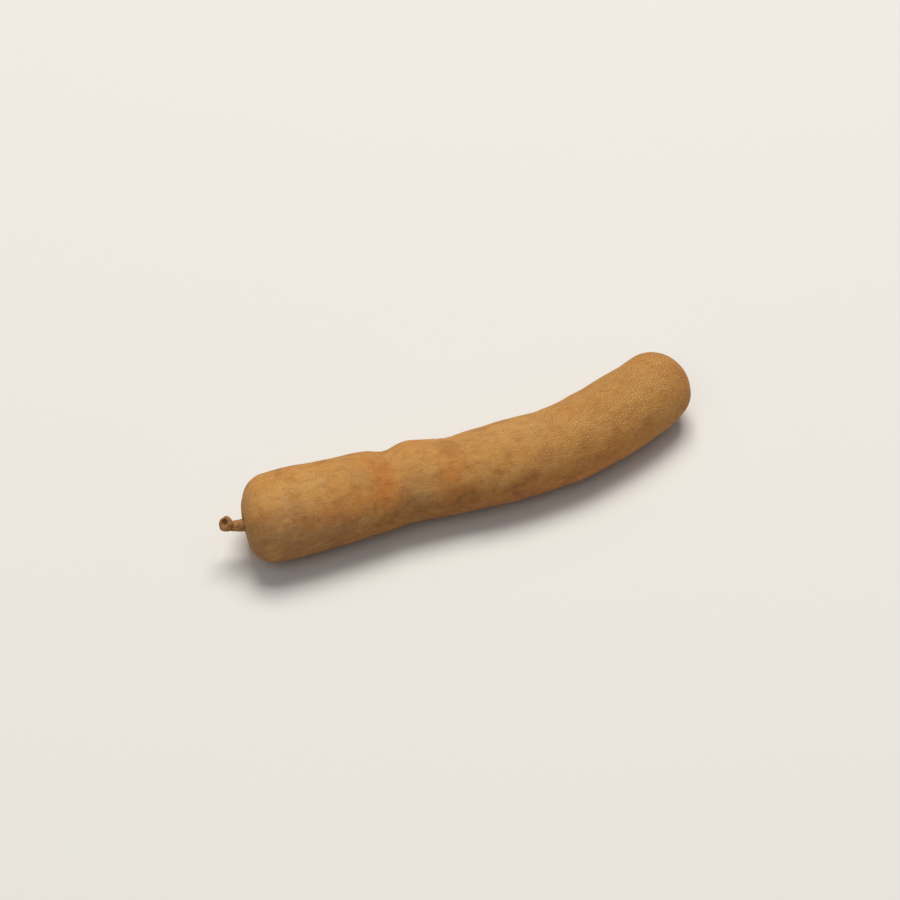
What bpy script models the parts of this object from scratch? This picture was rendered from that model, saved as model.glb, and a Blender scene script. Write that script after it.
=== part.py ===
"""Tamarind pod, whole and in its shell, lying as it settles, with the broken end of its stalk.

The pod is one grown body: a bent sausage with a broad, blunt shoulder at the stalk end, waists between its
first seed chambers, shallow swellings over the other seeds and a round tip. A faint seam runs along the
outside and the inside of the bend, and the shell puckers round the stalk. The pod rests on three small
flat spots. The stalk is a short woody stub that sits in a socket in the shoulder. It crooks upwards and
ends in a knob with a shallow hollow, where it broke off the twig.

Frame: metres, +Z up, +X from the stalk end to the tip, -Y towards the outside of the bend. The origin is
under the middle of the object's box, on the surface that the pod lies on.
"""

import math
from dataclasses import dataclass

import bmesh
import bpy
from mathutils import Matrix, Vector, noise

MM = 0.001


@dataclass(frozen=True)
class Station:
    """The pod's section at one point of its spine, in millimetres."""

    x: float
    y: float
    half_width: float  # level, from the outer seam to the inner one
    half_depth: float  # upright

    def as_vector(self):
        return Vector((self.x, self.y, self.half_width, self.half_depth)) * MM


@dataclass(frozen=True)
class Swelling:
    """A rise, or with a negative rise a waist, of the shell at one place along the pod."""

    at: float  # distance along the spine from the stalk end, metres
    rise: float  # metres
    reach: float  # half its length along the pod, metres
    facing: float  # degrees round the pod: 0 is the outer seam, 90 the top, 180 the inner seam
    spread: float  # half its width round the pod, degrees


# The spine passes through these, from the stalk end to the tip. They are about evenly spaced.
STATIONS = (
    Station(-72.8, 6.3, 13.9, 12.8),
    Station(-52.4, 4.8, 13.9, 12.7),
    Station(-31.8, 3.2, 13.1, 12.0),
    Station(-11.2, 0.9, 12.6, 11.5),
    Station(9.4, -1.5, 12.7, 11.6),
    Station(30.0, -1.3, 12.5, 11.4),
    Station(50.6, 3.4, 12.6, 11.5),
    Station(71.4, 12.4, 12.9, 11.7),
)
SPINE_STEPS = 40  # between two stations

# Length of the rounded ends, and how square they are: 2 is an ellipse, more is blunter.
SHOULDER_LENGTH = 10.5 * MM
SHOULDER_SQUARENESS = 2.8
SHOULDER_SLANT = 0.1  # how far the shoulder's outer side leans out past its middle, as a slope
SHOULDER_SLANT_REACH = 14.0 * MM
TIP_LENGTH = 12.5 * MM
TIP_SQUARENESS = 2.2

# Swellings over the seed chambers and the waists between them.
SWELLINGS = (
    Swelling(at=26.0 * MM, rise=-0.3 * MM, reach=7.0 * MM, facing=130, spread=100),
    Swelling(at=46.0 * MM, rise=-1.5 * MM, reach=4.0 * MM, facing=140, spread=120),
    Swelling(at=54.0 * MM, rise=-0.8 * MM, reach=11.0 * MM, facing=-40, spread=110),
    Swelling(at=54.0 * MM, rise=0.8 * MM, reach=4.5 * MM, facing=140, spread=90),
    Swelling(at=65.5 * MM, rise=-0.8 * MM, reach=4.0 * MM, facing=140, spread=120),
    Swelling(at=136.0 * MM, rise=-1.4 * MM, reach=8.0 * MM, facing=160, spread=60),
)
# The three places that the pod rests on.
FEET = (
    Swelling(at=20.0 * MM, rise=0.5 * MM, reach=9.0 * MM, facing=-90, spread=35),
    Swelling(at=85.0 * MM, rise=0.35 * MM, reach=10.0 * MM, facing=-90, spread=35),
    Swelling(at=130.0 * MM, rise=0.4 * MM, reach=9.0 * MM, facing=-90, spread=35),
)
FLAT_DEPTH = 0.15 * MM  # how deep the flat spot on each of them is worn

SEAM_RISE = 0.1 * MM
SEAM_HALF_WIDTH = math.radians(9.0)

# Uneven dents and swellings over the whole shell.
DENT_SIZE = 12.0 * MM
DENT_DEPTH = 0.3 * MM

# Puckers that gather towards the stalk.
PUCKERS = 7
PUCKER_DEPTH = 0.35 * MM
PUCKER_REACH = 6.0 * MM

# Low collar that the shell gathers into round the stalk.
COLLAR_RISE = 0.6 * MM
COLLAR_RADIUS = 3.2 * MM

# The stalk's stub.
STALK_VISIBLE = 7.2 * MM
STALK_SUNK = 1.6 * MM
STALK_ROOT_RADIUS = 2.0 * MM
STALK_NECK_RADIUS = 1.5 * MM
STALK_KNOB_RADIUS = 2.25 * MM
STALK_KNOB_HALF_LENGTH = 1.7 * MM
STALK_KNOB_BLUNTNESS = 0.8  # 1 is an ellipse, less is blunter
STALK_CUP_DEPTH = 0.8 * MM
STALK_FLUTES = 5
STALK_FLUTE = 0.05  # how deep its flutes are, and how oval it is, as shares of its radius
STALK_OVAL = 0.06
STALK_LEAN = math.radians(14.0)  # towards the inside of the bend
STALK_LIFT = math.radians(-7.0)
STALK_BEND = math.radians(87.0)  # how far it bends on the way to its end
STALK_BEND_FACING = math.radians(72.0)  # and to which side: 0 is the outside of the pod's bend, 90 is up
SOCKET_CLEARANCE = 0.3 * MM
SOCKET_DEPTH = STALK_SUNK + SOCKET_CLEARANCE

# Meshes. The shares are of the rows that lie on a rounded end.
POD_ROWS = 90
POD_SIDES = 60
END_SHARE = 0.12
STALK_ROWS = 22
STALK_SIDES = 28
MERGE = 0.002 * MM

POD_COLOUR = (0.47, 0.24, 0.085, 1.0)
STALK_COLOUR = (0.33, 0.14, 0.05, 1.0)


class Spine:
    """The smooth curve through the stations, read by distance from the stalk end."""

    def __init__(self, stations):
        knots = [station.as_vector() for station in stations]
        knots = [2 * knots[0] - knots[1], *knots, 2 * knots[-1] - knots[-2]]
        self.readings = []
        for four in zip(knots, knots[1:], knots[2:], knots[3:]):
            self.readings += [self.between(*four, step / SPINE_STEPS) for step in range(SPINE_STEPS)]
        self.readings.append(knots[-2])
        self.distances = [0.0]
        for before, after in zip(self.readings, self.readings[1:]):
            self.distances.append(self.distances[-1] + (after - before).to_2d().length)
        self.length = self.distances[-1]

    @staticmethod
    def between(before, start, end, after, t):
        """A Catmull-Rom curve from start to end, at t from 0 to 1."""
        linear = (end - before) * t
        square = (2 * before - 5 * start + 4 * end - after) * t**2
        cube = (3 * start - before - 3 * end + after) * t**3
        return start + (linear + square + cube) / 2

    def at(self, distance):
        """Centre, direction towards the tip, half width and half depth."""
        last = len(self.readings) - 2
        i = next((i for i in range(last) if self.distances[i + 1] > distance), last)
        t = (distance - self.distances[i]) / (self.distances[i + 1] - self.distances[i])
        reading = self.readings[i].lerp(self.readings[i + 1], t)
        along = (self.readings[min(last, i + 1) + 1] - self.readings[max(0, i - 1)]).to_2d()
        centre = Vector((reading.x, reading.y, reading.w))  # so the underside runs level
        return centre, along.to_3d().normalized(), reading.z, reading.w


def rounded_end(turn, length, squareness):
    """Distance from the pole and share of the full girth, for a turn from 0 at the pole to 1."""
    angle = turn * math.pi / 2
    return length * (1 - math.cos(angle) ** (2 / squareness)), math.sin(angle) ** (2 / squareness)


def row_place(share, length):
    """Distance along the spine and share of the full girth, for a share of the rows."""
    if share < END_SHARE:
        return rounded_end(share / END_SHARE, SHOULDER_LENGTH, SHOULDER_SQUARENESS)
    if share > 1 - END_SHARE:
        from_tip, fullness = rounded_end((1 - share) / END_SHARE, TIP_LENGTH, TIP_SQUARENESS)
        return length - from_tip, fullness
    body = (share - END_SHARE) / (1 - 2 * END_SHARE)
    return SHOULDER_LENGTH + body * (length - SHOULDER_LENGTH - TIP_LENGTH), 1.0


def swell(distance, around):
    """Rise of the shell from the waists, the seed chambers and the feet."""
    total = 0.0
    for s in SWELLINGS + FEET:
        away = (distance - s.at) / s.reach
        aside = math.remainder(math.degrees(around) - s.facing, 360) / s.spread
        total += s.rise * math.exp(-away * away - aside * aside)
    return total


def seam(around):
    """Rise of the two seams, which lie at 0 and at half a turn."""
    off = abs(math.remainder(around, math.pi))
    return SEAM_RISE * math.exp(-((off / SEAM_HALF_WIDTH) ** 2))


def pucker(distance, around):
    """Depth of the creases round the stalk."""
    reach = distance / PUCKER_REACH
    wave = 0.5 + 0.5 * math.cos(PUCKERS * around + 1.4 * math.sin(2 * around))
    return -PUCKER_DEPTH * wave * math.exp(-reach * reach)


def shoulder_reach(distance, radius, around):
    """How far the shell reaches back past its section: the shoulder's slant, and the stalk's collar."""
    slant = SHOULDER_SLANT * math.exp(-((distance / SHOULDER_SLANT_REACH) ** 2))
    on_face = 1.0 if distance < SHOULDER_LENGTH else 0.0
    collar = COLLAR_RISE * on_face * math.exp(-((radius / COLLAR_RADIUS) ** 2))
    return slant * radius * math.cos(around) + collar


def skin_point(spine, share, around):
    """A point of the shell. Around runs from the outer seam over the top to the inner one."""
    distance, fullness = row_place(share, spine.length)
    centre, along, half_width, half_depth = spine.at(distance)
    outwards = Vector((along.y, -along.x, 0.0))
    section = outwards * math.cos(around) * half_width + Vector((0, 0, half_depth)) * math.sin(around)
    relief = swell(distance, around) + seam(around) + pucker(distance, around)
    relief += DENT_DEPTH * noise.noise((centre + section) / DENT_SIZE)
    back = shoulder_reach(distance, fullness * half_width, around)
    return centre - along * back + (section + section.normalized() * relief) * fullness


def stalk_profile(share):
    """Distance from the root and radius of the stalk, for a share of its rows."""
    face, knob, cup = 0.12, 0.42, 0.84  # shares at which the neck, the knob and the broken end's cup start
    back, front = math.radians(-48), math.radians(62)  # where the knob starts and ends, from its widest
    length = STALK_SUNK + STALK_VISIBLE
    widest = length - STALK_KNOB_HALF_LENGTH * math.sin(front)
    if share < face:
        return 0.0, STALK_ROOT_RADIUS * share / face
    if share < knob:
        run = (share - face) / (knob - face)
        radius = STALK_NECK_RADIUS + (STALK_ROOT_RADIUS - STALK_NECK_RADIUS) * (1 - run) ** 2
        return run * (widest + STALK_KNOB_HALF_LENGTH * math.sin(back)), radius
    if share < cup:
        turn = back + (front - back) * (share - knob) / (cup - knob)
        radius = STALK_KNOB_RADIUS * math.cos(turn) ** STALK_KNOB_BLUNTNESS
        return widest + STALK_KNOB_HALF_LENGTH * math.sin(turn), radius
    run = (share - cup) / (1 - cup)
    rim = STALK_KNOB_RADIUS * math.cos(front) ** STALK_KNOB_BLUNTNESS
    return length - STALK_CUP_DEPTH * math.sin(run * math.pi / 2) ** 2, rim * (1 - run)


def stalk_point(share, around):
    """A point of the stalk, which grows along +X from its root at the origin and bends past the socket."""
    x, radius = stalk_profile(share)
    radius *= 1 + STALK_FLUTE * math.cos(STALK_FLUTES * around) + STALK_OVAL * math.cos(2 * around + 1)
    section = Vector((0.0, radius * math.cos(around), radius * math.sin(around)))
    if x <= STALK_SUNK:
        return section + Vector((x, 0.0, 0.0))
    to_side = Vector((0.0, math.cos(STALK_BEND_FACING), math.sin(STALK_BEND_FACING)))
    bent = STALK_BEND * (x - STALK_SUNK) / STALK_VISIBLE
    arc = STALK_VISIBLE / STALK_BEND
    centre = Vector((STALK_SUNK + arc * math.sin(bent), 0.0, 0.0)) + to_side * arc * (1 - math.cos(bent))
    axle = Vector((1.0, 0.0, 0.0)).cross(to_side)
    return centre + Matrix.Rotation(bent, 3, axle) @ section


def rolled(name, rows, sides, place):
    """A sheet rolled round its long way and drawn together at both ends, as one closed body."""
    bm = bmesh.new()
    bmesh.ops.create_grid(bm, x_segments=rows, y_segments=sides, size=0.5)
    for vert in bm.verts:
        vert.co = place(vert.co.x + 0.5, (vert.co.y + 0.5) * math.tau)
    bmesh.ops.remove_doubles(bm, verts=bm.verts, dist=MERGE)
    bmesh.ops.recalc_face_normals(bm, faces=bm.faces)
    mesh = bpy.data.meshes.new(name)
    bm.to_mesh(mesh)
    bm.free()
    mesh.shade_smooth()
    part = bpy.data.objects.new(name, mesh)
    bpy.context.scene.collection.objects.link(part)
    return part


def plug(name, radius, length):
    """A cutter: a round plug along X, with its middle at the origin."""
    bm = bmesh.new()
    bmesh.ops.create_cone(
        bm,
        cap_ends=True,
        segments=STALK_SIDES,
        radius1=radius,
        radius2=radius,
        depth=length,
        matrix=Matrix.Rotation(math.pi / 2, 4, "Y"),
    )
    mesh = bpy.data.meshes.new(name)
    bm.to_mesh(mesh)
    bm.free()
    cutter = bpy.data.objects.new(name, mesh)
    cutter.hide_render = True
    cutter.display_type = "WIRE"
    bpy.context.scene.collection.objects.link(cutter)
    return cutter


def wear_flat(part, height):
    """Cuts a part level at a height, and closes the small flat spots that this leaves."""
    bm = bmesh.new()
    bm.from_mesh(part.data)
    cut = bmesh.ops.bisect_plane(
        bm,
        geom=bm.verts[:] + bm.edges[:] + bm.faces[:],
        plane_co=(0, 0, height),
        plane_no=(0, 0, -1),
        clear_outer=True,
    )
    rims = [edge for edge in cut["geom_cut"] if isinstance(edge, bmesh.types.BMEdge)]
    spots = bmesh.ops.holes_fill(bm, edges=rims)["faces"]
    bmesh.ops.recalc_face_normals(bm, faces=bm.faces)
    bmesh.ops.triangulate(bm, faces=spots)
    bm.to_mesh(part.data)
    bm.free()


def finish(name, colour, roughness):
    """A plain finish."""
    material = bpy.data.materials.new(name)
    material.use_nodes = True
    shader = material.node_tree.nodes["Principled BSDF"]
    shader.inputs["Base Color"].default_value = colour
    shader.inputs["Roughness"].default_value = roughness
    shader.inputs["Metallic"].default_value = 0.0
    return material


def make_pod(spine):
    """The pod's shell, worn flat where it rests."""
    pod = rolled("pod", POD_ROWS, POD_SIDES, lambda share, around: skin_point(spine, share, around))
    lowest = min(vert.co.z for vert in pod.data.vertices)
    wear_flat(pod, lowest + FLAT_DEPTH)
    pod.data.materials.append(finish("pod_shell", POD_COLOUR, 0.75))
    return pod


def make_stalk(pod, spine):
    """The stalk's stub, and the socket that it sits in."""
    _, along, _, _ = spine.at(0.0)
    mouth = skin_point(spine, 0.0, 0.0)
    turn = (-along).to_track_quat("X", "Z").to_matrix().to_4x4()
    turn @= Matrix.Rotation(-STALK_LEAN, 4, "Z") @ Matrix.Rotation(-STALK_LIFT, 4, "Y")
    stalk = rolled("stalk", STALK_ROWS, STALK_SIDES, stalk_point)
    stalk.matrix_world = Matrix.Translation(mouth) @ turn @ Matrix.Translation((-STALK_SUNK, 0, 0))
    stalk.data.materials.append(finish("stalk_wood", STALK_COLOUR, 0.8))

    widest_root = STALK_ROOT_RADIUS * (1 + STALK_FLUTE + STALK_OVAL)
    socket = plug("socket_cutter", widest_root + SOCKET_CLEARANCE, 2 * SOCKET_DEPTH)
    socket.matrix_world = Matrix.Translation(mouth) @ turn
    cut = pod.modifiers.new("Socket", "BOOLEAN")
    cut.operation = "DIFFERENCE"
    cut.object = socket
    return stalk


def stand_on_origin(parts):
    """Hangs everything on an empty that puts the origin under the middle of the parts' box."""
    corners = [part.matrix_world @ vert.co for part in parts for vert in part.data.vertices]
    lows = Vector(min(corner[axis] for corner in corners) for axis in range(3))
    highs = Vector(max(corner[axis] for corner in corners) for axis in range(3))
    holder = bpy.data.objects.new("tamarind_pod", None)
    bpy.context.scene.collection.objects.link(holder)
    for obj in bpy.data.objects:
        if obj is not holder:
            obj.parent = holder
    holder.location = (-(lows.x + highs.x) / 2, -(lows.y + highs.y) / 2, -lows.z)


def clear_scene():
    for obj in list(bpy.data.objects):
        bpy.data.objects.remove(obj)


def main():
    clear_scene()
    spine = Spine(STATIONS)
    pod = make_pod(spine)
    stalk = make_stalk(pod, spine)
    stand_on_origin([pod, stalk])


main()
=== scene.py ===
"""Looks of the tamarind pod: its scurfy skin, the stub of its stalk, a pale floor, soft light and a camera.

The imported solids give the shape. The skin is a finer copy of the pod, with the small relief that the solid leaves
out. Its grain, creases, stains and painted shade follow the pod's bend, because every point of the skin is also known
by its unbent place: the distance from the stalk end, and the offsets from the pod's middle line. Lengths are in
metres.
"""

import logging
import math
from dataclasses import dataclass, field
from enum import Enum
from typing import Any

import bmesh
import bpy
import numpy as np
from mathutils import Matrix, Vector, noise

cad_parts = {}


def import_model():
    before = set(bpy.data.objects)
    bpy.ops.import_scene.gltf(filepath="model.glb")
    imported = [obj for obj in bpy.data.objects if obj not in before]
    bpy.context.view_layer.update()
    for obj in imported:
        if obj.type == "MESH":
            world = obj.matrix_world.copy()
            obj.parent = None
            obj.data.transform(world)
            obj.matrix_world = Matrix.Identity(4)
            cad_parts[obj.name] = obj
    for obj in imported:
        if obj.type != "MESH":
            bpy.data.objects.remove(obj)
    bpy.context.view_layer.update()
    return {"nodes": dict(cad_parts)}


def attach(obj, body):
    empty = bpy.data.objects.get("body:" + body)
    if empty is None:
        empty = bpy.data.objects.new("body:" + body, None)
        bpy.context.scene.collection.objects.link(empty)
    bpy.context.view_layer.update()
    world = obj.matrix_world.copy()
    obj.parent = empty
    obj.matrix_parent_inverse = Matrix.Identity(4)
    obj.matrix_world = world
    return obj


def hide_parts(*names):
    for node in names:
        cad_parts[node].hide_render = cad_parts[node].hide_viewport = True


LOG = logging.getLogger("tamarind_pod")
MM = 0.001
SAME_POINT = 0.002 * MM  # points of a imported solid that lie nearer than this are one
QUAD_FOLD = math.radians(40.0)  # the most that two triangles of a quad may fold
QUAD_SKEW = math.radians(60.0)  # and the most that its corners may be out of square
TINY = 1e-12  # keeps a division off zero

Colour = tuple[float, float, float]
Range = tuple[float, float]


class Mark(Enum):
    """Kinds of mark on the skin, two of which also carry painted shade on the pod's lower side. Each is painted into
    an attribute of this name.
    """

    RUST_AND_SHADE = "rust_and_shade"  # fresh orange where the shell was pinched at a waist, and painted shade that makes the lower side more orange and a little darker
    OLIVE = "olive"  # dull grey-brown, where the pod hung in shade
    STAIN_AND_SHADE = "stain_and_shade"  # darker brown bruises, and painted shade along the pod's lower side
    DUST = "dust"  # thick pale scurf


def turn_from(around: np.ndarray, facing: float) -> np.ndarray:
    """Degrees round the pod from a facing.

    Args:
        around: Degrees round the pod.
        facing: Where they are counted from.

    Returns:
        One angle for each point, from -180 to 180.
    """
    return (around - facing + 180.0) % 360.0 - 180.0


@dataclass(frozen=True)
class Patch:
    """One soft-edged patch of colour on the skin; some of them are painted shade."""

    mark: Mark
    at: float  # distance from the stalk end
    facing: float  # degrees round the pod: 0 is the outside of the bend, 90 the top, 180 the inside
    reach: float  # half its length along the pod
    spread: float  # half its width round the pod, degrees
    strength: float
    edge: float = 1.4  # 1 fades out slowly, more has a firmer edge

    def cover(self, along: np.ndarray, around: np.ndarray, ragged: np.ndarray) -> np.ndarray:
        """How strongly the patch covers each point.

        Args:
            along: Distances from the stalk end.
            around: Degrees round the pod.
            ragged: Noise that frays its edge.

        Returns:
            Shares from 0 to the patch's strength.
        """
        aside = turn_from(around, self.facing)
        far = ((along - self.at) / self.reach) ** 2 + (aside / self.spread) ** 2
        return self.strength * np.exp(-((far * (1.0 + ragged)) ** self.edge))


def patches_of(mark: Mark, *rows: tuple[float, ...]) -> list[Patch]:
    """Makes the patches of one kind.

    Args:
        mark: Their kind.
        *rows: For each patch the values of Patch from at to strength, or to edge. Its at and reach are in
            millimetres.

    Returns:
        The patches.
    """
    return [Patch(mark, at * MM, facing, reach * MM, *rest) for at, facing, reach, *rest in rows]


@dataclass(frozen=True)
class Crease:
    """A set of shallow creases that run round the pod at a waist."""

    at: float
    facing: float
    reach: float
    spread: float
    pitch: float
    depth: float
    bend: float = 2.2  # how far noise bends them, in radians of their wave

    def cut(self, along: np.ndarray, around: np.ndarray, waver: np.ndarray) -> np.ndarray:
        """How deep the creases are at each point.

        Args:
            along: Distances from the stalk end.
            around: Degrees round the pod.
            waver: Smooth noise that bends the creases.

        Returns:
            A depth for each point.
        """
        aside = turn_from(around, self.facing)
        fade = np.exp(-(((along - self.at) / self.reach) ** 2) - (aside / self.spread) ** 2)
        wave = np.cos((along - self.at) / self.pitch * math.tau + self.bend * waver)
        return self.depth * fade * np.maximum(wave, 0.0) ** 2


class Spine:
    """The pod's bent middle line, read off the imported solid. It unbends the points of the skin."""

    SLICES = 40
    SAMPLES = 600
    END_MARGIN = 8.0 * MM  # the rounded ends say little about the middle line
    SIDEWAYS_DEGREE = 6
    UPRIGHT_DEGREE = 4
    BLOCK = 4000  # points that are measured at once

    def __init__(self, points: np.ndarray) -> None:
        """Fits the line.

        Args:
            points: The solid's vertices, one row each.
        """
        low, high = points.min(0), points.max(0)
        cuts = np.linspace(low[0] + self.END_MARGIN, high[0] - self.END_MARGIN, self.SLICES + 1)
        middles = []
        for start, end in zip(cuts, cuts[1:]):
            inside = points[(points[:, 0] > start) & (points[:, 0] <= end)]
            if len(inside):
                middles.append([(start + end) / 2, *(inside[:, 1:].min(0) + inside[:, 1:].max(0)) / 2])
        x, y, z = np.array(middles).T
        fit = np.polynomial.Polynomial.fit
        line_x = np.linspace(low[0], high[0], self.SAMPLES)
        line_y, line_z = fit(x, y, self.SIDEWAYS_DEGREE)(line_x), fit(x, z, self.UPRIGHT_DEGREE)(line_x)
        self.line = np.stack([line_x, line_y, line_z], 1)
        steps = np.linalg.norm(np.diff(self.line, axis=0), axis=1)
        self.distances = np.concatenate([[0.0], np.cumsum(steps)])
        self.length = float(self.distances[-1])
        self.tangents = np.gradient(self.line, axis=0)
        self.tangents /= np.linalg.norm(self.tangents, axis=1)[:, None]
        self.outwards = np.cross(self.tangents, (0.0, 0.0, 1.0))
        self.outwards /= np.linalg.norm(self.outwards, axis=1)[:, None]
        self.upwards = np.cross(self.outwards, self.tangents)

    def tangents_at(self, along: np.ndarray) -> np.ndarray:
        """The line's directions.

        Args:
            along: Distances along the line.

        Returns:
            One direction for each distance.
        """
        return self.tangents[np.searchsorted(self.distances, along).clip(0, len(self.distances) - 1)]

    def unbend(self, points: np.ndarray) -> np.ndarray:
        """Places of points on the pod as if it were straight.

        Args:
            points: Points near the pod, one row each.

        Returns:
            Rows of distance along, offset towards the outside of the bend and offset upwards.
        """
        nearest = np.concatenate(
            [
                ((block[:, None] - self.line[None]) ** 2).sum(2).argmin(1)
                for block in np.array_split(points, max(1, len(points) // self.BLOCK))
            ]
        )
        away = points - self.line[nearest]
        along = self.distances[nearest] + (away * self.tangents[nearest]).sum(1)
        across = (away * self.outwards[nearest]).sum(1)
        up = (away * self.upwards[nearest]).sum(1)
        return np.stack([along, across, up], 1)


class Wiring:
    """Adds nodes to one node tree and joins their sockets."""

    def __init__(self, tree: bpy.types.NodeTree) -> None:
        """Starts wiring a tree.

        Args:
            tree: The tree of a material or a node group.
        """
        self.tree = tree

    def add(self, kind: str, inputs: dict[Any, Any] | None = None, **settings: Any) -> bpy.types.Node:
        """Adds a node.

        Args:
            kind: The node's type name.
            inputs: For each input's name or number, a socket to join to it or a value to set.
            **settings: Properties of the node.

        Returns:
            The new node.
        """
        node = self.tree.nodes.new(kind)
        for name, value in settings.items():
            setattr(node, name, value)
        for key, value in (inputs or {}).items():
            if isinstance(value, bpy.types.NodeSocket):
                self.tree.links.new(value, node.inputs[key])
            else:
                node.inputs[key].default_value = value
        return node

    def maths(self, operation: str, first: Any, second: Any = 0.0, third: Any = 0.0) -> bpy.types.NodeSocket:
        """A Math node's result.

        Args:
            operation: The Math node's operation.
            first: A value or a socket.
            second: A value or a socket.
            third: A value or a socket, for operations that take three.

        Returns:
            The result's socket.
        """
        node = self.add("ShaderNodeMath", {0: first, 1: second, 2: third}, operation=operation)
        return node.outputs[0]

    def times(self, first: Any, second: Any) -> bpy.types.NodeSocket:
        """A product.

        Args:
            first: A value or a socket.
            second: A value or a socket.

        Returns:
            The product's socket.
        """
        return self.maths("MULTIPLY", first, second)

    def between(self, value: Any, low: float, high: float, to_low: float = 0.0, to_high: float = 1.0) -> Any:
        """A value carried smoothly from one range to another, and held at its ends.

        Args:
            value: A value or a socket.
            low: Where the range starts.
            high: Where it ends.
            to_low: What low becomes.
            to_high: What high becomes.

        Returns:
            The result's socket.
        """
        node = self.add(
            "ShaderNodeMapRange",
            {"Value": value, "From Min": low, "From Max": high, "To Min": to_low, "To Max": to_high},
            interpolation_type="SMOOTHSTEP",
        )
        return node.outputs["Result"]

    def vector(self, operation: str, first: Any, second: Any = (0.0, 0.0, 0.0), **inputs: Any) -> bpy.types.NodeSocket:
        """A Vector Math node's result.

        Args:
            operation: The node's operation.
            first: A vector or its socket.
            second: A vector or its socket.
            **inputs: Other inputs, such as Scale.

        Returns:
            The result's socket.
        """
        node = self.add("ShaderNodeVectorMath", {0: first, 1: second, **inputs}, operation=operation)
        return node.outputs[0]

    def mixed(self, share: Any, low: Any, high: Any) -> bpy.types.NodeSocket:
        """A value between two others.

        Args:
            share: How much of the second value, from 0 to 1.
            low: The first value or its socket.
            high: The second value or its socket.

        Returns:
            The mixed value's socket.
        """
        return self.add("ShaderNodeMix", {0: share, 2: low, 3: high}, data_type="FLOAT").outputs[0]

    def blend(self, share: Any, low: Any, high: Any) -> bpy.types.NodeSocket:
        """A mix of two colours.

        Args:
            share: How much of the second colour, from 0 to 1.
            low: The first colour or its socket.
            high: The second colour or its socket.

        Returns:
            The mixed colour's socket.
        """
        low, high = (c if isinstance(c, bpy.types.NodeSocket) else (*c, 1.0) for c in (low, high))
        return self.add("ShaderNodeMix", {0: share, 6: low, 7: high}, data_type="RGBA").outputs[2]

    def layered(self, colour: Any, layers: list[tuple[Any, Colour]]) -> bpy.types.NodeSocket:
        """Colours laid over each other.

        Args:
            colour: The lowest colour or its socket.
            layers: The share and the colour of each layer above it, from the lowest up.

        Returns:
            The final colour's socket.
        """
        for share, layer in layers:
            colour = self.blend(share, colour, layer)
        return colour

    def attribute(self, name: str, output: str) -> bpy.types.NodeSocket:
        """An attribute of the piece's mesh.

        Args:
            name: The attribute's name.
            output: "Vector" or "Fac".

        Returns:
            Its socket.
        """
        return self.add("ShaderNodeAttribute", attribute_name=name).outputs[output]

    def effect(self, group: bpy.types.NodeTree, **inputs: Any) -> bpy.types.Node:
        """Places a node group.

        Args:
            group: The group.
            **inputs: Values or sockets for its inputs, by their names.

        Returns:
            The group's node.
        """
        return self.add("ShaderNodeGroup", inputs, node_tree=group)


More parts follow.
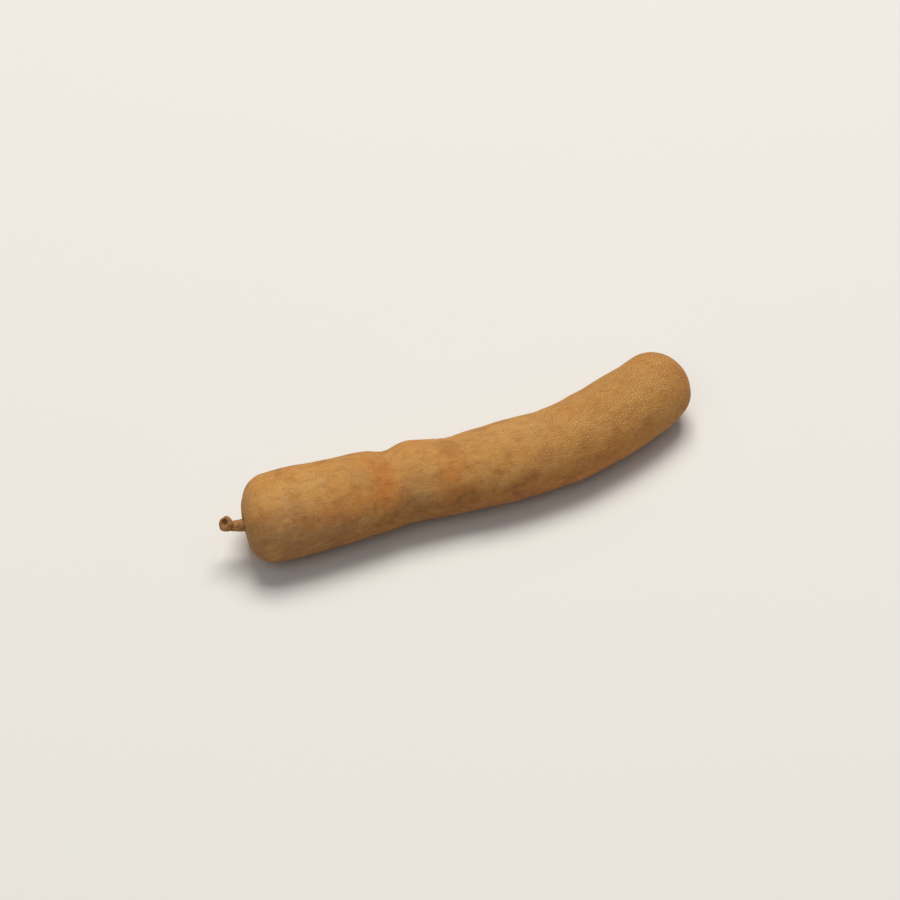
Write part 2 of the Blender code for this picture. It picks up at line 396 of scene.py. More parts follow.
class Effects:
    """The patterns that the finishes are made of, each a node group."""

    DETAIL = 3.0  # octaves of every noise
    ROUGHNESS = 0.55
    DRIFT = 1.1  # scale of the noise that pushes the beads about, in beads
    RANDOMNESS = 0.9  # of the beads
    SPECK_SIZES: Range = (0.4, 1.0)  # from the smallest to the largest, as shares of the radius
    SPECK_EDGE: Range = (0.5, 1.0)  # a speck fades out between these shares of its size

    def __init__(self) -> None:
        """Builds the groups."""
        self.beads = self.build_beads()
        self.mottle = self.build_mottle()
        self.specks = self.build_specks()

    @staticmethod
    def start(name: str, inputs: dict[str, float | None], outputs: list[str]) -> tuple[Wiring, Any, Any]:
        """Starts a group.

        Args:
            name: The group's name.
            inputs: Names of the inputs with the values they start at. None makes a vector.
            outputs: Names of the outputs, which are all values.

        Returns:
            The group's wiring, its inputs' sockets and its output node.
        """
        tree = bpy.data.node_groups.new(name, "ShaderNodeTree")
        for title, value in inputs.items():
            kind = "NodeSocketVector" if value is None else "NodeSocketFloat"
            socket = tree.interface.new_socket(title, in_out="INPUT", socket_type=kind)
            if value is not None:
                socket.default_value = value
        for title in outputs:
            tree.interface.new_socket(title, in_out="OUTPUT", socket_type="NodeSocketFloat")
        wiring = Wiring(tree)
        return wiring, wiring.add("NodeGroupInput").outputs, wiring.add("NodeGroupOutput")

    def build_beads(self) -> bpy.types.NodeTree:
        """Low, crowded beads with fine grooves between them, laid flat on the body, its inside strip and its ends."""
        places = ["Body", "Inside", "End"]
        shares = {"Inside Share": 0.0, "End Share": 0.0}
        sizes = {"Cell": 1.0 * MM, "Waver": 0.5}
        wiring, given, out = self.start("beads", {**dict.fromkeys(places), **shares, **sizes}, ["Bead", "Tint"])
        scale = wiring.maths("DIVIDE", 1.0, given["Cell"])
        laid = []
        for place in places:
            cells = wiring.vector("SCALE", given[place], Scale=scale)
            drift = wiring.add("ShaderNodeTexNoise", {"Vector": cells, "Scale": self.DRIFT, "Detail": self.DETAIL})
            centred = wiring.vector("SUBTRACT", drift.outputs["Color"], (0.5, 0.5, 0.5))
            pushed = wiring.vector("ADD", cells, wiring.vector("SCALE", centred, Scale=given["Waver"]))
            settings = {"voronoi_dimensions": "2D"}
            inputs = {"Vector": pushed, "Scale": 1.0, "Randomness": self.RANDOMNESS}
            edges = wiring.add("ShaderNodeTexVoronoi", inputs, feature="DISTANCE_TO_EDGE", **settings)
            cores = wiring.add("ShaderNodeTexVoronoi", inputs, feature="F1", **settings)
            tint = wiring.add("ShaderNodeSeparateColor", {0: cores.outputs["Color"]}).outputs[0]
            laid.append((edges.outputs["Distance"], tint))
        for title, on_body, inside, at_end in zip(["Bead", "Tint"], *laid):
            value = wiring.mixed(given["Inside Share"], on_body, inside)
            value = wiring.mixed(given["End Share"], value, at_end)
            wiring.tree.links.new(value, out.inputs[title])
        return wiring.tree

    def build_mottle(self) -> bpy.types.NodeTree:
        """Soft clouds of an even size, from 0 to 1."""
        wiring, given, out = self.start(
            "mottle", {"Vector": None, "Size": 5.0 * MM, "Low": 0.4, "High": 0.6}, ["Mask"]
        )
        scale = wiring.maths("DIVIDE", 1.0, given["Size"])
        inputs = {"Vector": given["Vector"], "Scale": scale, "Detail": self.DETAIL, "Roughness": self.ROUGHNESS}
        clouds = wiring.add("ShaderNodeTexNoise", inputs)
        carried = wiring.add(
            "ShaderNodeMapRange",
            {"Value": clouds.outputs["Fac"], "From Min": given["Low"], "From Max": given["High"]},
            interpolation_type="SMOOTHSTEP",
        )
        wiring.tree.links.new(carried.outputs["Result"], out.inputs["Mask"])
        return wiring.tree

    def build_specks(self) -> bpy.types.NodeTree:
        """Small round specks, scattered."""
        wiring, given, out = self.start(
            "specks", {"Vector": None, "Spacing": 3.0 * MM, "Radius": 0.1, "Share": 0.3}, ["Mask"]
        )
        scale = wiring.maths("DIVIDE", 1.0, given["Spacing"])
        points = wiring.add(
            "ShaderNodeTexVoronoi", {"Vector": given["Vector"], "Scale": scale, "Randomness": 1.0}, feature="F1"
        )
        draw = wiring.add("ShaderNodeSeparateColor", {0: points.outputs["Color"]})
        chosen = wiring.maths("LESS_THAN", draw.outputs[0], given["Share"])
        size = wiring.times(wiring.between(draw.outputs[1], 0.0, 1.0, *self.SPECK_SIZES), given["Radius"])
        near = wiring.between(wiring.maths("DIVIDE", points.outputs["Distance"], size), *self.SPECK_EDGE, 1.0, 0.0)
        wiring.tree.links.new(wiring.times(near, chosen), out.inputs["Mask"])
        return wiring.tree


def start_material(name: str) -> tuple[bpy.types.Material, Wiring, bpy.types.Node]:
    """Makes a material with a shader and nothing else.

    Args:
        name: The material's name.

    Returns:
        The material, its wiring and its shader.
    """
    material = bpy.data.materials.new(name)
    material.use_nodes = True
    return material, Wiring(material.node_tree), material.node_tree.nodes["Principled BSDF"]


@dataclass(frozen=True)
class Pattern:
    """What a finish gives to one of the shared patterns. Its fields are named after the group's inputs."""

    def mask(self, wiring: Wiring, group: bpy.types.NodeTree, places: Any) -> bpy.types.NodeSocket:
        """Lays the pattern.

        Args:
            wiring: The finish's wiring.
            group: The shared pattern.
            places: The socket of the places that it is laid on.

        Returns:
            The socket of its mask.
        """
        given = {name.capitalize(): value for name, value in vars(self).items()}
        return wiring.effect(group, Vector=places, **given).outputs["Mask"]


@dataclass(frozen=True)
class Clouding(Pattern):
    """Soft clouds of one size."""

    size: float
    low: float  # the clouds fade in between these two values of their noise
    high: float


@dataclass(frozen=True)
class Specking(Pattern):
    """Scattered specks of one kind."""

    spacing: float
    radius: float  # as a share of the spacing
    share: float  # how many of the places have a speck


@dataclass(frozen=True)
class SkinFinish:
    """The shell's dry, scurfy skin. What is called a share below is how strongly a layer's colour covers."""

    tan: Colour = (0.560, 0.284, 0.076)
    amber: Colour = (0.545, 0.246, 0.056)
    # The next colour is the waists' orange, and also painted shade on the pod's lower side
    rust_and_shade: Colour = (0.50, 0.152, 0.023)
    russet: Colour = (0.34, 0.130, 0.030)
    olive: Colour = (0.385, 0.224, 0.096)
    # The next colour darkens the lines and the stains, and is also painted shade along the pod's lower side
    umber: Colour = (0.235, 0.086, 0.019)
    scurf: Colour = (0.66, 0.42, 0.165)
    speck: Colour = (0.10, 0.042, 0.014)

    bead: float = 0.84 * MM  # across the pod
    bead_stretch: float = 1.15  # how much longer along it
    bead_waver: float = 1.05  # how far the beads are pushed about, in beads
    bead_slope: Range = (0.02, 0.38)  # from a bead's foot to its top, in beads from its edge
    groove: float = 0.21  # half its width, as a share of a bead
    crisp_along: Range = (62.0 * MM, 128.0 * MM)  # the beads grow crisp between these distances from the stalk end
    faint: float = 0.42  # strength of the beads at the stalk end; it is 1 at the tip

    cloud_squeeze: float = 0.78  # draws the clouds out along the pod
    line_squeeze: float = 0.36
    wide: Clouding = Clouding(17.0 * MM, 0.40, 0.60)
    blotches: Clouding = Clouding(6.0 * MM, 0.48, 0.66)
    chalk: Clouding = Clouding(4.2 * MM, 0.46, 0.68)
    flecks: Clouding = Clouding(1.7 * MM, 0.48, 0.68)
    lines: Clouding = Clouding(1.1 * MM, 0.45, 0.68)
    grit: Clouding = Clouding(0.3 * MM, 0.3, 0.7)
    specks: Specking = Specking(4.2 * MM, 0.09, 0.3)

    olive_share: Range = (1.1, 0.5)  # off the chalk and on it
    mark_share: Range = (0.7, 1.1)  # rust, stains and the painted shade they carry, off the flecks and on them
    blotch_share: Range = (0.56, 0.2)  # at the stalk end and at the tip
    fleck_share: float = 0.30
    line_share: float = 0.26
    groove_share: Range = (0.4, 0.85)  # it differs from bead to bead
    dust_share: float = 0.10  # of the scurf, where there is no chalk and no mark of dust
    chalk_share: float = 0.24
    bead_dust: Range = (0.5, 1.4)  # how much of that scurf a bead holds; it differs from bead to bead
    even_dust: float = 0.7  # and how much lies where there are no crisp beads
    speck_share: float = 0.45

    relief: float = 0.10 * MM  # height of the beads
    grit_height: float = 0.3  # as shares of the relief
    fleck_height: float = 0.4
    roughness: Range = (0.86, 0.72)  # in the grooves and on the beads
    specular: float = 0.22
    sheen: float = 0.04
    sheen_roughness: float = 0.5
    sheen_tint: Colour = (1.0, 0.84, 0.62)

    def lay_patterns(self, wiring: Wiring, effects: Effects) -> dict[str, bpy.types.NodeSocket]:
        """Lays the skin's patterns on its unbent places.

        Args:
            wiring: The skin's wiring.
            effects: The shared patterns.

        Returns:
            The socket of each pattern, by its name.
        """
        unbent = wiring.attribute("unbent", "Vector")
        along = wiring.add("ShaderNodeSeparateXYZ", {0: unbent}).outputs[0]
        drawn = wiring.vector("MULTIPLY", unbent, (self.cloud_squeeze, 1.0, 1.0))
        streaks = wiring.vector("MULTIPLY", unbent, (self.line_squeeze, 1.0, 1.0))
        slim = (1.0 / self.bead_stretch, 1.0, 1.0)
        beads = wiring.effect(
            effects.beads,
            Body=wiring.vector("MULTIPLY", wiring.attribute("body_place", "Vector"), slim),
            Inside=wiring.vector("MULTIPLY", wiring.attribute("inside_place", "Vector"), slim),
            End=wiring.attribute("end_place", "Vector"),
            Cell=self.bead,
            Waver=self.bead_waver,
            **{title: wiring.attribute(title, "Fac") for title in ("Inside Share", "End Share")},
        )
        return {
            "crisp": wiring.between(along, *self.crisp_along, self.faint, 1.0),
            "bead": wiring.between(beads.outputs["Bead"], *self.bead_slope),
            "groove": wiring.between(beads.outputs["Bead"], 0.0, self.groove, 1.0, 0.0),
            "tint": beads.outputs["Tint"],
            "wide": self.wide.mask(wiring, effects.mottle, unbent),
            "blotches": self.blotches.mask(wiring, effects.mottle, drawn),
            "chalk": self.chalk.mask(wiring, effects.mottle, drawn),
            "flecks": self.flecks.mask(wiring, effects.mottle, drawn),
            "lines": self.lines.mask(wiring, effects.mottle, streaks),
            "grit": self.grit.mask(wiring, effects.mottle, unbent),
            "specks": self.specks.mask(wiring, effects.specks, unbent),
        }

    def lay_colours(self, wiring: Wiring, laid: dict[str, bpy.types.NodeSocket]) -> bpy.types.NodeSocket:
        """Lays the skin's colours over each other.

        Args:
            wiring: The skin's wiring.
            laid: The sockets of its patterns.

        Returns:
            The socket of its colour.
        """
        marks = {mark: wiring.attribute(mark.value, "Fac") for mark in Mark}
        uneven = wiring.between(laid["chalk"], 0.0, 1.0, *self.olive_share)
        broken_up = wiring.between(laid["flecks"], 0.0, 1.0, *self.mark_share)
        bruised = wiring.between(laid["crisp"], self.faint, 1.0, *self.blotch_share)
        sunk = wiring.times(laid["groove"], wiring.between(laid["tint"], 0.0, 1.0, *self.groove_share))
        dust = wiring.maths("ADD", marks[Mark.DUST], self.dust_share)
        dusty = wiring.maths("MULTIPLY_ADD", laid["chalk"], self.chalk_share, dust)
        raised = wiring.times(laid["bead"], wiring.between(laid["tint"], 0.0, 1.0, *self.bead_dust))
        layers = [
            (wiring.times(marks[Mark.OLIVE], uneven), self.olive),
            # rust at the waists, and painted shade making the lower side more orange
            (wiring.times(marks[Mark.RUST_AND_SHADE], broken_up), self.rust_and_shade),
            (wiring.times(laid["blotches"], bruised), self.russet),
            (wiring.times(laid["flecks"], self.fleck_share), self.russet),
            (wiring.times(laid["lines"], self.line_share), self.umber),
            # stains, and painted shade darkening the pod's lower side
            (wiring.times(marks[Mark.STAIN_AND_SHADE], broken_up), self.umber),
            (wiring.times(sunk, laid["crisp"]), self.russet),
            (wiring.times(dusty, wiring.mixed(laid["crisp"], self.even_dust, raised)), self.scurf),
            (wiring.times(laid["specks"], self.speck_share), self.speck),
        ]
        return wiring.layered(wiring.blend(laid["wide"], self.tan, self.amber), layers)

    def build(self, effects: Effects) -> bpy.types.Material:
        """Makes the material.

        Args:
            effects: The shared patterns.

        Returns:
            The material. It reads the attributes "unbent", those of the places and shares that the beads are laid
            out by, and those of each Mark.
        """
        material, wiring, shader = start_material("pod_skin")
        laid = self.lay_patterns(wiring, effects)
        wiring.tree.links.new(self.lay_colours(wiring, laid), shader.inputs["Base Color"])

        rough = wiring.between(laid["bead"], 0.0, 1.0, *self.roughness)
        wiring.tree.links.new(rough, shader.inputs["Roughness"])
        shader.inputs["Specular IOR Level"].default_value = self.specular
        shader.inputs["Sheen Weight"].default_value = self.sheen
        shader.inputs["Sheen Roughness"].default_value = self.sheen_roughness
        shader.inputs["Sheen Tint"].default_value = (*self.sheen_tint, 1.0)

        height = wiring.times(laid["bead"], laid["crisp"])
        height = wiring.maths("MULTIPLY_ADD", laid["grit"], self.grit_height, height)
        height = wiring.maths("MULTIPLY_ADD", laid["flecks"], self.fleck_height, height)
        bump = wiring.add("ShaderNodeBump", {"Height": height, "Distance": self.relief, "Strength": 1.0})
        wiring.tree.links.new(bump.outputs["Normal"], shader.inputs["Normal"])
        return material


@dataclass(frozen=True)
class StalkFinish:
    """The stalk's dry bark and its broken wood."""

    bark: Colour = (0.36, 0.165, 0.052)
    light_bark: Colour = (0.52, 0.285, 0.105)
    furrow: Colour = (0.15, 0.062, 0.022)
    wood: Colour = (0.29, 0.125, 0.042)
    pith: Colour = (0.11, 0.045, 0.017)
    fibre_squeeze: float = 0.2  # draws the fibres out along the stalk
    fibres: Clouding = Clouding(0.35 * MM, 0.35, 0.65)
    patches: Clouding = Clouding(1.3 * MM, 0.4, 0.65)
    crumbs: Specking = Specking(0.9 * MM, 0.2, 0.5)
    fibre_share: float = 0.5
    crumb_share: float = 0.6
    relief: float = 0.1 * MM  # height of the fibres
    relief_strength: float = 0.8
    patch_height: float = 0.5  # as a share of the relief
    roughness: float = 0.8
    specular: float = 0.3

    def build(self, effects: Effects) -> bpy.types.Material:
        """Makes the material.

        Args:
            effects: The shared patterns.

        Returns:
            The material. It reads the attributes "grain", "broken" and "pith".
        """
        material, wiring, shader = start_material("stalk_wood")
        grain = wiring.attribute("grain", "Vector")
        drawn = wiring.vector("MULTIPLY", grain, (self.fibre_squeeze, 1.0, 1.0))
        fibres = self.fibres.mask(wiring, effects.mottle, drawn)
        patches = self.patches.mask(wiring, effects.mottle, grain)
        crumbs = self.crumbs.mask(wiring, effects.specks, grain)
        layers = [
            (wiring.times(fibres, self.fibre_share), self.furrow),
            (wiring.attribute("broken", "Fac"), self.wood),
            (wiring.attribute("pith", "Fac"), self.pith),
            (wiring.times(crumbs, self.crumb_share), self.light_bark),
        ]
        colour = wiring.layered(wiring.blend(patches, self.bark, self.light_bark), layers)
        wiring.tree.links.new(colour, shader.inputs["Base Color"])
        shader.inputs["Roughness"].default_value = self.roughness
        shader.inputs["Specular IOR Level"].default_value = self.specular
        height = wiring.maths("MULTIPLY_ADD", patches, self.patch_height, fibres)
        bump = wiring.add(
            "ShaderNodeBump", {"Height": height, "Distance": self.relief, "Strength": self.relief_strength}
        )
        wiring.tree.links.new(bump.outputs["Normal"], shader.inputs["Normal"])
        return material


def vertex_rows(mesh: bpy.types.Mesh, name: str) -> np.ndarray:
    """The places or the normals of a mesh's vertices.

    Args:
        mesh: The mesh.
        name: "co" or "normal".

    Returns:
        One row for each vertex.
    """
    rows = np.empty(len(mesh.vertices) * 3, np.float32)
    mesh.vertices.foreach_get(name, rows)
    return rows.reshape(-1, 3).astype(float)


def move_vertices(mesh: bpy.types.Mesh, points: np.ndarray) -> None:
    """Puts a mesh's vertices in new places.

    Args:
        mesh: The mesh.
        points: One row for each vertex.
    """
    mesh.vertices.foreach_set("co", points.astype(np.float32).ravel())
    mesh.update()


def store(mesh: bpy.types.Mesh, name: str, values: np.ndarray) -> None:
    """Keeps a value or a vector for each vertex as an attribute.

    Args:
        mesh: The mesh.
        name: The attribute's name.
        values: One value or one row for each vertex.
    """
    is_vector = values.ndim == 2
    attribute = mesh.attributes.new(name, "FLOAT_VECTOR" if is_vector else "FLOAT", "POINT")
    attribute.data.foreach_set("vector" if is_vector else "value", values.astype(np.float32).ravel())


@dataclass(frozen=True)
class Noise:
    """Smooth noise of one size."""

    SHIFT = (1.0, 2.3, -1.7)  # the seed moves the pattern this way

    size: float
    amount: float
    seed: float

    def waves(self, points: np.ndarray) -> np.ndarray:
        """The noise itself, about -1 to 1.

        Args:
            points: Places, one row each.

        Returns:
            One value for each place.
        """
        shift = Vector([self.seed * way for way in self.SHIFT])
        return np.array([noise.noise(Vector(point) / self.size + shift) for point in points])

    def over(self, points: np.ndarray) -> np.ndarray:
        """The noise times its amount.

        Args:
            points: Places, one row each.

        Returns:
            One value for each place.
        """
        return self.amount * self.waves(points)


def refined(name: str, bm: bmesh.types.BMesh, levels: int) -> bpy.types.Object:
    """Rounds off a coarse mesh with a Subdivision Surface, and keeps the result as a plain mesh.

    Args:
        name: The new object's name.
        bm: The coarse mesh, which is freed.
        levels: How many times it is divided.

    Returns:
        The new object.
    """
    coarse = bpy.data.meshes.new(name + "_coarse")
    bm.to_mesh(coarse)
    bm.free()
    piece = bpy.data.objects.new(name, coarse)
    bpy.context.scene.collection.objects.link(piece)
    divide = piece.modifiers.new("Subdivision", "SUBSURF")
    divide.levels = divide.render_levels = levels
    graph = bpy.context.evaluated_depsgraph_get()
    mesh = bpy.data.meshes.new_from_object(piece.evaluated_get(graph))
    mesh.name = name
    piece.modifiers.clear()
    piece.data = mesh
    bpy.data.meshes.remove(coarse)
    mesh.shade_smooth()
    return piece


def merged_copy(node: bpy.types.Object) -> bmesh.types.BMesh:
    """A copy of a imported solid, with its loose triangles joined into quads.

    Args:
        node: The solid's object, which is left alone.

    Returns:
        The copy.
    """
    bm = bmesh.new()
    bm.from_mesh(node.data)
    bmesh.ops.remove_doubles(bm, verts=bm.verts, dist=SAME_POINT)
    bmesh.ops.join_triangles(
        bm, faces=bm.faces, angle_face_threshold=QUAD_FOLD, angle_shape_threshold=QUAD_SKEW
    )
    return bm


def number_rings(bm: bmesh.types.BMesh) -> np.ndarray:
    """Numbers the stalk's rings from the middle of its root to the middle of its hollow, into a "ring" layer.

    Args:
        bm: The stalk's coarse mesh, whose two ends close in a pole each.

    Returns:
        The middle of each ring.
    """
    layer = bm.verts.layers.float.new("ring")
    poles = sorted(bm.verts, key=lambda vert: len(vert.link_faces))[-2:]
    front = {max(poles, key=lambda vert: vert.co.x)}
    seen, middles = set(front), []
    while front:
        middles.append(np.mean([vert.co for vert in front], axis=0))
        for vert in front:
            vert[layer] = len(middles) - 1
        front = {near for vert in front for face in vert.link_faces for near in face.verts} - seen
        seen |= front
    return np.array(middles)


@dataclass
class PodSkin:
    """The pod's skin, over the whole shell."""

    node: bpy.types.Object
    stalk: bpy.types.Object
    spine: Spine
    finish: SkinFinish
    levels: int = 2
    socket_radius: float = 2.75 * MM  # the socket lies inside a cylinder of this radius round the stalk's root
    socket_reach: float = 4.5 * MM
    socket_smoothing: int = 6  # how many times
    root_rings: int = 3  # the stalk's rings that say which way its root points
    girth: float = 12.4 * MM  # the pod's mean radius, for patterns that are wrapped round it
    inside_from: float = 140.0  # degrees round the pod, either way, at which the inside strip starts
    inside_fade: float = 12.0
    end_from: float = 0.66  # cosine between the skin's normal and the middle line at which the ends start
    end_fade: float = 0.12
    lumps: Noise = Noise(8.0 * MM, 0.18 * MM, 3.1)
    dents: Noise = Noise(3.8 * MM, 0.09 * MM, 5.2)
    pebbles: Noise = Noise(2.0 * MM, 0.05 * MM, 7.7)
    fraying: tuple[Noise, ...] = (Noise(5.0 * MM, 0.6, 11.3), Noise(1.9 * MM, 0.5, 5.9))  # of the patches' edges
    most_frayed: float = 0.9
    creases: tuple[Crease, ...] = (
        Crease(at=46.5 * MM, facing=130, reach=3.5 * MM, spread=70, pitch=2.1 * MM, depth=0.10 * MM),
        Crease(at=65.5 * MM, facing=110, reach=5.0 * MM, spread=80, pitch=2.3 * MM, depth=0.10 * MM),
    )
    patches: tuple[Patch, ...] = (
        *patches_of(
            Mark.RUST_AND_SHADE,
            (43.0, 56, 4.2, 66, 0.85),
            (64.5, 34, 6.0, 54, 0.8),
            (25.0, 35, 15.0, 20, 0.72),
            (140.0, 40, 11.0, 50, 0.15),
            # painted shade: the lower side from the middle to the tip made more orange and a little darker
            (92.0, -20, 34.0, 40, 0.85),
            (20.0, 175, 9.0, 40, 0.45),
        ),
        *patches_of(
            Mark.OLIVE,
            (14.0, 8, 19.0, 46, 0.95, 2.2),
            (51.0, 14, 7.0, 30, 0.7, 1.8),
            (84.0, 8, 9.0, 17, 0.2),
            (100.0, 205, 24.0, 34, 0.6, 1.8),
        ),
        *patches_of(
            Mark.STAIN_AND_SHADE,
            # painted shade: the next three patches darken the pod's lower side
            (38.0, -22, 58.0, 42, 1.1),
            (62.0, -6, 24.0, 18, 0.45),
            (115.0, -60, 40.0, 34, 0.4),
            (17.8, 34, 1.8, 8, 0.5),
            (28.0, 50, 3.2, 5, 0.35),
            (49.0, 26, 2.2, 8, 0.4),
            (66.4, 6, 2.4, 9, 0.5),
            (79.7, 9, 2.8, 8, 0.45),
            (86.5, 22, 2.0, 8, 0.45),
            (103.4, 39, 2.2, 7, 0.4),
            (113.5, 40, 1.8, 8, 0.5),
            (123.4, 27, 2.0, 5, 0.6),
            (128.0, 200, 4.0, 14, 0.45),
            (58.0, 170, 3.0, 12, 0.4),
            (92.0, 150, 5.0, 9, 0.35),
        ),
        *patches_of(
            Mark.DUST,
            (8.0, 75, 6.0, 20, 0.25),
            (30.0, 84, 9.0, 18, 0.2),
            (54.0, 66, 7.0, 40, 0.22),
            (88.0, 92, 13.0, 26, 0.22),
            (120.0, 62, 10.0, 16, 0.12),
            (138.0, 80, 10.0, 34, 0.2),
        ),
    )

    def close_socket(self, bm: bmesh.types.BMesh) -> None:
        """Takes out the stalk's socket and draws the skin close round the stalk.

        Args:
            bm: The skin's coarse mesh.
        """
        stalk = merged_copy(self.stalk)
        middles = number_rings(stalk)
        stalk.free()
        root, way = Vector(middles[0]), Vector(middles[self.root_rings] - middles[0]).normalized()
        near = set()
        for vert in bm.verts:
            away = vert.co - root
            if away.length < self.socket_reach and (away - way * away.dot(way)).length < self.socket_radius:
                near.add(vert)
        wall = [face for face in bm.faces if near.issuperset(face.verts)]
        bmesh.ops.delete(bm, geom=wall, context="FACES")
        loose = [vert for vert in bm.verts if not vert.link_faces]
        bmesh.ops.delete(bm, geom=loose, context="VERTS")
        rim = [edge for edge in bm.edges if edge.is_boundary]
        ring = {vert for edge in rim for vert in edge.verts}
        filled = bmesh.ops.holes_fill(bm, edges=rim)["faces"]
        middle = bmesh.ops.poke(bm, faces=filled)["verts"]
        around = ring | set(middle) | {edge.other_vert(vert) for vert in ring for edge in vert.link_edges}
        axes = ("use_axis_x", "use_axis_y", "use_axis_z")
        for _ in range(self.socket_smoothing):
            bmesh.ops.smooth_vert(bm, verts=list(around), factor=0.5, **dict.fromkeys(axes, True))
        LOG.info("socket: %d faces taken out, %d edges round it", len(wall), len(rim))

    def lay_places(self, mesh: bpy.types.Mesh, unbent: np.ndarray, around: np.ndarray, normals: np.ndarray) -> None:
        """Keeps flat places on the skin, which the beads are laid out on.

        The body's places are wrapped round it from the inside of the bend, and a strip there has places of its own,
        wrapped from the outside. The ends have places seen end on.

        Args:
            mesh: The skin's mesh.
            unbent: Its unbent places.
            around: Degrees round the pod.
            normals: The normals of its bent places.
        """
        along, turned = unbent[:, 0], (around % 360.0) - 180.0
        store(mesh, "body_place", np.stack([along, np.radians(around) * self.girth, 0.0 * along], 1))
        store(mesh, "inside_place", np.stack([along, np.radians(turned) * self.girth, 0.0 * along], 1))
        store(mesh, "end_place", np.stack([unbent[:, 1], unbent[:, 2], 0.0 * along], 1))
        store(mesh, "Inside Share", np.clip((np.abs(around) - self.inside_from) / self.inside_fade, 0.0, 1.0))
        facing_on = np.abs((normals * self.spine.tangents_at(along)).sum(1))
        store(mesh, "End Share", np.clip((facing_on - self.end_from) / self.end_fade, 0.0, 1.0))

    def build(self) -> bpy.types.Object:
        """Makes the skin's mesh, with its relief and its attributes.

        Returns:
            The skin.
        """
        bm = merged_copy(self.node)
        self.close_socket(bm)
        piece = refined("pod_skin", bm, self.levels)
        mesh = piece.data
        points, normals = vertex_rows(mesh, "co"), vertex_rows(mesh, "normal")
        unbent = self.spine.unbend(points)
        along, around = unbent[:, 0], np.degrees(np.arctan2(unbent[:, 2], unbent[:, 1]))
        drawn_out = unbent / (self.finish.bead_stretch, 1.0, 1.0)
        lumps = self.lumps.waves(unbent)
        relief = self.lumps.amount * lumps + self.dents.over(drawn_out) + self.pebbles.over(drawn_out)
        relief -= sum(crease.cut(along, around, lumps) for crease in self.creases)
        points += normals * relief[:, None]
        points[:, 2] = np.maximum(points[:, 2], 0.0)
        move_vertices(mesh, points)
        store(mesh, "unbent", unbent)
        self.lay_places(mesh, unbent, around, normals)
        ragged = np.clip(sum(layer.over(unbent) for layer in self.fraying), -self.most_frayed, self.most_frayed)
        for mark in Mark:
            covers = [patch.cover(along, around, ragged) for patch in self.patches if patch.mark is mark]
            store(mesh, mark.value, np.clip(sum(covers), 0.0, 1.0))
        return piece

    def dress(self, piece: bpy.types.Object, effects: Effects) -> None:
        """Gives the skin its finish and its place in the frame.

        Args:
            piece: The skin.
            effects: The shared patterns.
        """
        piece.data.materials.clear()
        piece.data.materials.append(self.finish.build(effects))
        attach(piece, "root")
        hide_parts("pod")


@dataclass
class StalkStub:
    """The stub of the stalk: a neck, a swollen end and the broken wood in it."""

    node: bpy.types.Object
    finish: StalkFinish
    levels: int = 2
    furrows: int = 7
    furrow_depth: float = 0.10 * MM
    furrow_waver: Noise = Noise(2.5 * MM, 2.0, 2.2)
    bark: Noise = Noise(0.8 * MM, 0.06 * MM, 4.4)
    lumps: Noise = Noise(2.0 * MM, 0.16 * MM, 8.8)
    hollow_depth: float = 0.3 * MM  # the broken end is this much deeper than in the solid
    hollow_slope: float = 0.35  # the hollow deepens over this share of the way from its rim to its middle
    pith_from: float = 0.45  # the pith fades in from this share of that way
    pith_gain: float = 2.0

    @staticmethod
    def own_places(points: np.ndarray, rings: np.ndarray, middles: np.ndarray) -> np.ndarray:
        """Places along and across the stalk, as if it were straight.

        Args:
            points: The stub's vertices.
            rings: The number of each vertex's ring, with fractions.
            middles: The middle of each ring.

        Returns:
            Rows of distance along the rings' middles and two offsets from them.
        """
        numbers = np.arange(len(middles))
        steps = np.linalg.norm(np.diff(middles, axis=0), axis=1)
        along = np.interp(rings, numbers, np.concatenate([[0.0], np.cumsum(steps)]))
        line = np.stack([np.interp(rings, numbers, axis) for axis in middles.T], 1)
        ways = np.gradient(middles, axis=0)
        ways = np.stack([np.interp(rings, numbers, axis) for axis in ways.T], 1)
        level = np.cross(ways, (0.0, 1.0, 0.0))
        level /= np.linalg.norm(level, axis=1)[:, None] + TINY
        upright = np.cross(level, ways)
        upright /= np.linalg.norm(upright, axis=1)[:, None] + TINY
        away = points - line
        return np.stack([along, (away * level).sum(1), (away * upright).sum(1)], 1)

    def build(self) -> bpy.types.Object:
        """Makes the stub's mesh.

        Returns:
            The stub.
        """
        bm = merged_copy(self.node)
        middles = number_rings(bm)
        piece = refined("stalk_stub", bm, self.levels)
        mesh = piece.data
        points, normals = vertex_rows(mesh, "co"), vertex_rows(mesh, "normal")
        rings = np.empty(len(points), np.float32)
        mesh.attributes["ring"].data.foreach_get("value", rings)
        own = self.own_places(points, rings, middles)
        around = np.arctan2(own[:, 2], own[:, 1])
        rim = int(np.linalg.norm(middles - middles[0], axis=1).argmax())
        last = len(middles) - 1
        hollow = np.clip((rings - rim) / (self.hollow_slope * (last - rim)), 0.0, 1.0)
        pith = np.clip(((rings - rim) / (last - rim) - self.pith_from) * self.pith_gain, 0.0, 1.0)
        furrows = -np.maximum(np.cos(self.furrows * around + self.furrow_waver.over(own)), 0.0) ** 2
        relief = self.furrow_depth * furrows * (1.0 - hollow) + self.bark.over(own) + self.lumps.over(own)
        relief -= self.hollow_depth * hollow
        move_vertices(mesh, points + normals * relief[:, None])
        store(mesh, "grain", own)
        store(mesh, "broken", hollow)
        store(mesh, "pith", pith)
        LOG.info("stalk: rim at ring %d of %d", rim, last)
        return piece

    def dress(self, piece: bpy.types.Object, effects: Effects) -> None:
        """Gives the stub its finish and its place in the frame.

        Args:
            piece: The stub.
            effects: The shared patterns.
        """
        piece.data.materials.clear()
        piece.data.materials.append(self.finish.build(effects))
        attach(piece, "root")
        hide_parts("stalk")


@dataclass(frozen=True)
class SoftLight:
    """A square soft box that faces the pod."""

    name: str
    azimuth: float  # degrees: 0 stands on the -Y side, 90 on the +X side
    elevation: float
    distance: float
    width: float
    power: float
    colour: Colour


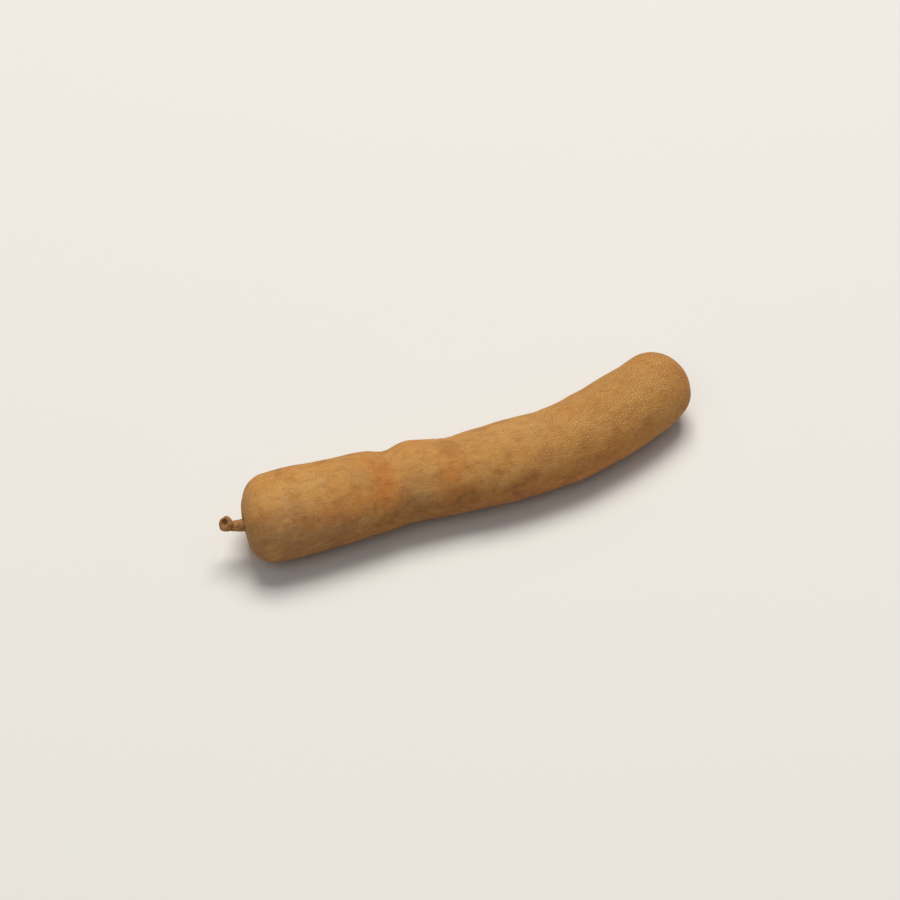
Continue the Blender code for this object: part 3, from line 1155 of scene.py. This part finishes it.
@dataclass
class Studio:
    """Floor, lights and camera."""

    floor_colour: Colour = (0.78, 0.765, 0.73)
    floor_roughness: float = 0.9
    floor_specular: float = 0.2
    floor_size: float = 4.0
    floor_gap: float = 0.02 * MM  # under the pod's flats, so that they and the floor aren't drawn through each other
    sky: Colour = (0.86, 0.92, 1.0)
    sky_strength: float = 0.24
    lights: tuple[SoftLight, ...] = (
        SoftLight("key", azimuth=150, elevation=70, distance=2.4, width=1.33, power=52.0, colour=(1.0, 0.96, 0.90)),
        SoftLight("fill", azimuth=-50, elevation=55, distance=3.0, width=1.75, power=10.5, colour=(1.0, 0.97, 0.94)),
    )
    azimuth: float = -24.05
    elevation: float = 48.0
    distance: float = 1.0985
    lens: float = 146.8
    clip: Range = (0.01, 20.0)
    target: Vector = field(default_factory=lambda: Vector((-2.18, 4.59, 14.98)) * MM)

    @staticmethod
    def direction(azimuth: float, elevation: float) -> Vector:
        """The way from the pod towards a lamp or the camera.

        Args:
            azimuth: Degrees, 0 on the -Y side and 90 on the +X side.
            elevation: Degrees above the floor.

        Returns:
            A unit vector.
        """
        turn, rise = math.radians(azimuth), math.radians(elevation)
        level = math.cos(rise)
        return Vector((math.sin(turn) * level, -math.cos(turn) * level, math.sin(rise)))

    def lay_floor(self) -> bpy.types.Object:
        """Makes the floor.

        Returns:
            The floor.
        """
        bm = bmesh.new()
        bmesh.ops.create_grid(bm, x_segments=1, y_segments=1, size=self.floor_size / 2)
        bmesh.ops.translate(bm, verts=bm.verts, vec=(0.0, 0.0, -self.floor_gap))
        mesh = bpy.data.meshes.new("floor")
        bm.to_mesh(mesh)
        bm.free()
        floor = bpy.data.objects.new("floor", mesh)
        bpy.context.scene.collection.objects.link(floor)
        material, _, shader = start_material("floor_paper")
        shader.inputs["Base Color"].default_value = (*self.floor_colour, 1.0)
        shader.inputs["Roughness"].default_value = self.floor_roughness
        shader.inputs["Specular IOR Level"].default_value = self.floor_specular
        mesh.materials.append(material)
        return floor

    def hang_light(self, light: SoftLight) -> None:
        """Makes one soft box.

        Args:
            light: Its place, size and power.
        """
        data = bpy.data.lights.new(light.name, "AREA")
        data.shape = "SQUARE"
        data.size = light.width
        data.energy = light.power
        data.color = light.colour
        lamp = bpy.data.objects.new(light.name, data)
        way = self.direction(light.azimuth, light.elevation)
        lamp.location = way * light.distance
        lamp.rotation_euler = way.to_track_quat("Z", "Y").to_euler()
        bpy.context.scene.collection.objects.link(lamp)

    def set_sky(self) -> None:
        """Gives the whole room its dim, even light."""
        world = bpy.data.worlds.new("room")
        world.use_nodes = True
        background = world.node_tree.nodes["Background"]
        background.inputs["Color"].default_value = (*self.sky, 1.0)
        background.inputs["Strength"].default_value = self.sky_strength
        bpy.context.scene.world = world

    def set_camera(self) -> None:
        """Stands the camera above the pod, on the outside of its bend."""
        data = bpy.data.cameras.new("camera")
        data.lens = self.lens
        data.clip_start, data.clip_end = self.clip
        camera = bpy.data.objects.new("camera", data)
        way = self.direction(self.azimuth, self.elevation)
        camera.location = self.target + way * self.distance
        camera.rotation_mode = "QUATERNION"
        camera.rotation_quaternion = (-way).to_track_quat("-Z", "Y")
        bpy.context.scene.collection.objects.link(camera)
        bpy.context.scene.camera = camera

    def build(self) -> None:
        """Sets up the room."""
        self.lay_floor()
        for light in self.lights:
            self.hang_light(light)
        self.set_sky()
        self.set_camera()
        bpy.context.scene.view_settings.view_transform = "Standard"


def report_piece(piece: bpy.types.Object) -> None:
    """Logs a piece's size.

    Args:
        piece: The piece.
    """
    piece.data.calc_loop_triangles()
    size = " x ".join(f"{side / MM:.1f}" for side in piece.dimensions)
    LOG.info("%s: %s mm, %d triangles", piece.name, size, len(piece.data.loop_triangles))


def main() -> None:
    """Dresses the pod, sets up the room and writes the sizes."""
    logging.basicConfig(level=logging.INFO, format="%(name)s: %(message)s")
    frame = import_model()
    pod, stalk = frame["nodes"]["pod"], frame["nodes"]["stalk"]
    effects = Effects()
    spine = Spine(vertex_rows(pod.data, "co"))
    LOG.info("middle line: %.1f mm", spine.length / MM)

    skin = PodSkin(pod, stalk, spine, SkinFinish())
    skin_piece = skin.build()
    skin.dress(skin_piece, effects)
    report_piece(skin_piece)

    stub = StalkStub(stalk, StalkFinish())
    stub_piece = stub.build()
    stub.dress(stub_piece, effects)
    report_piece(stub_piece)

    Studio().build()
    bpy.context.view_layer.update()


if __name__ == "__main__":
    main()
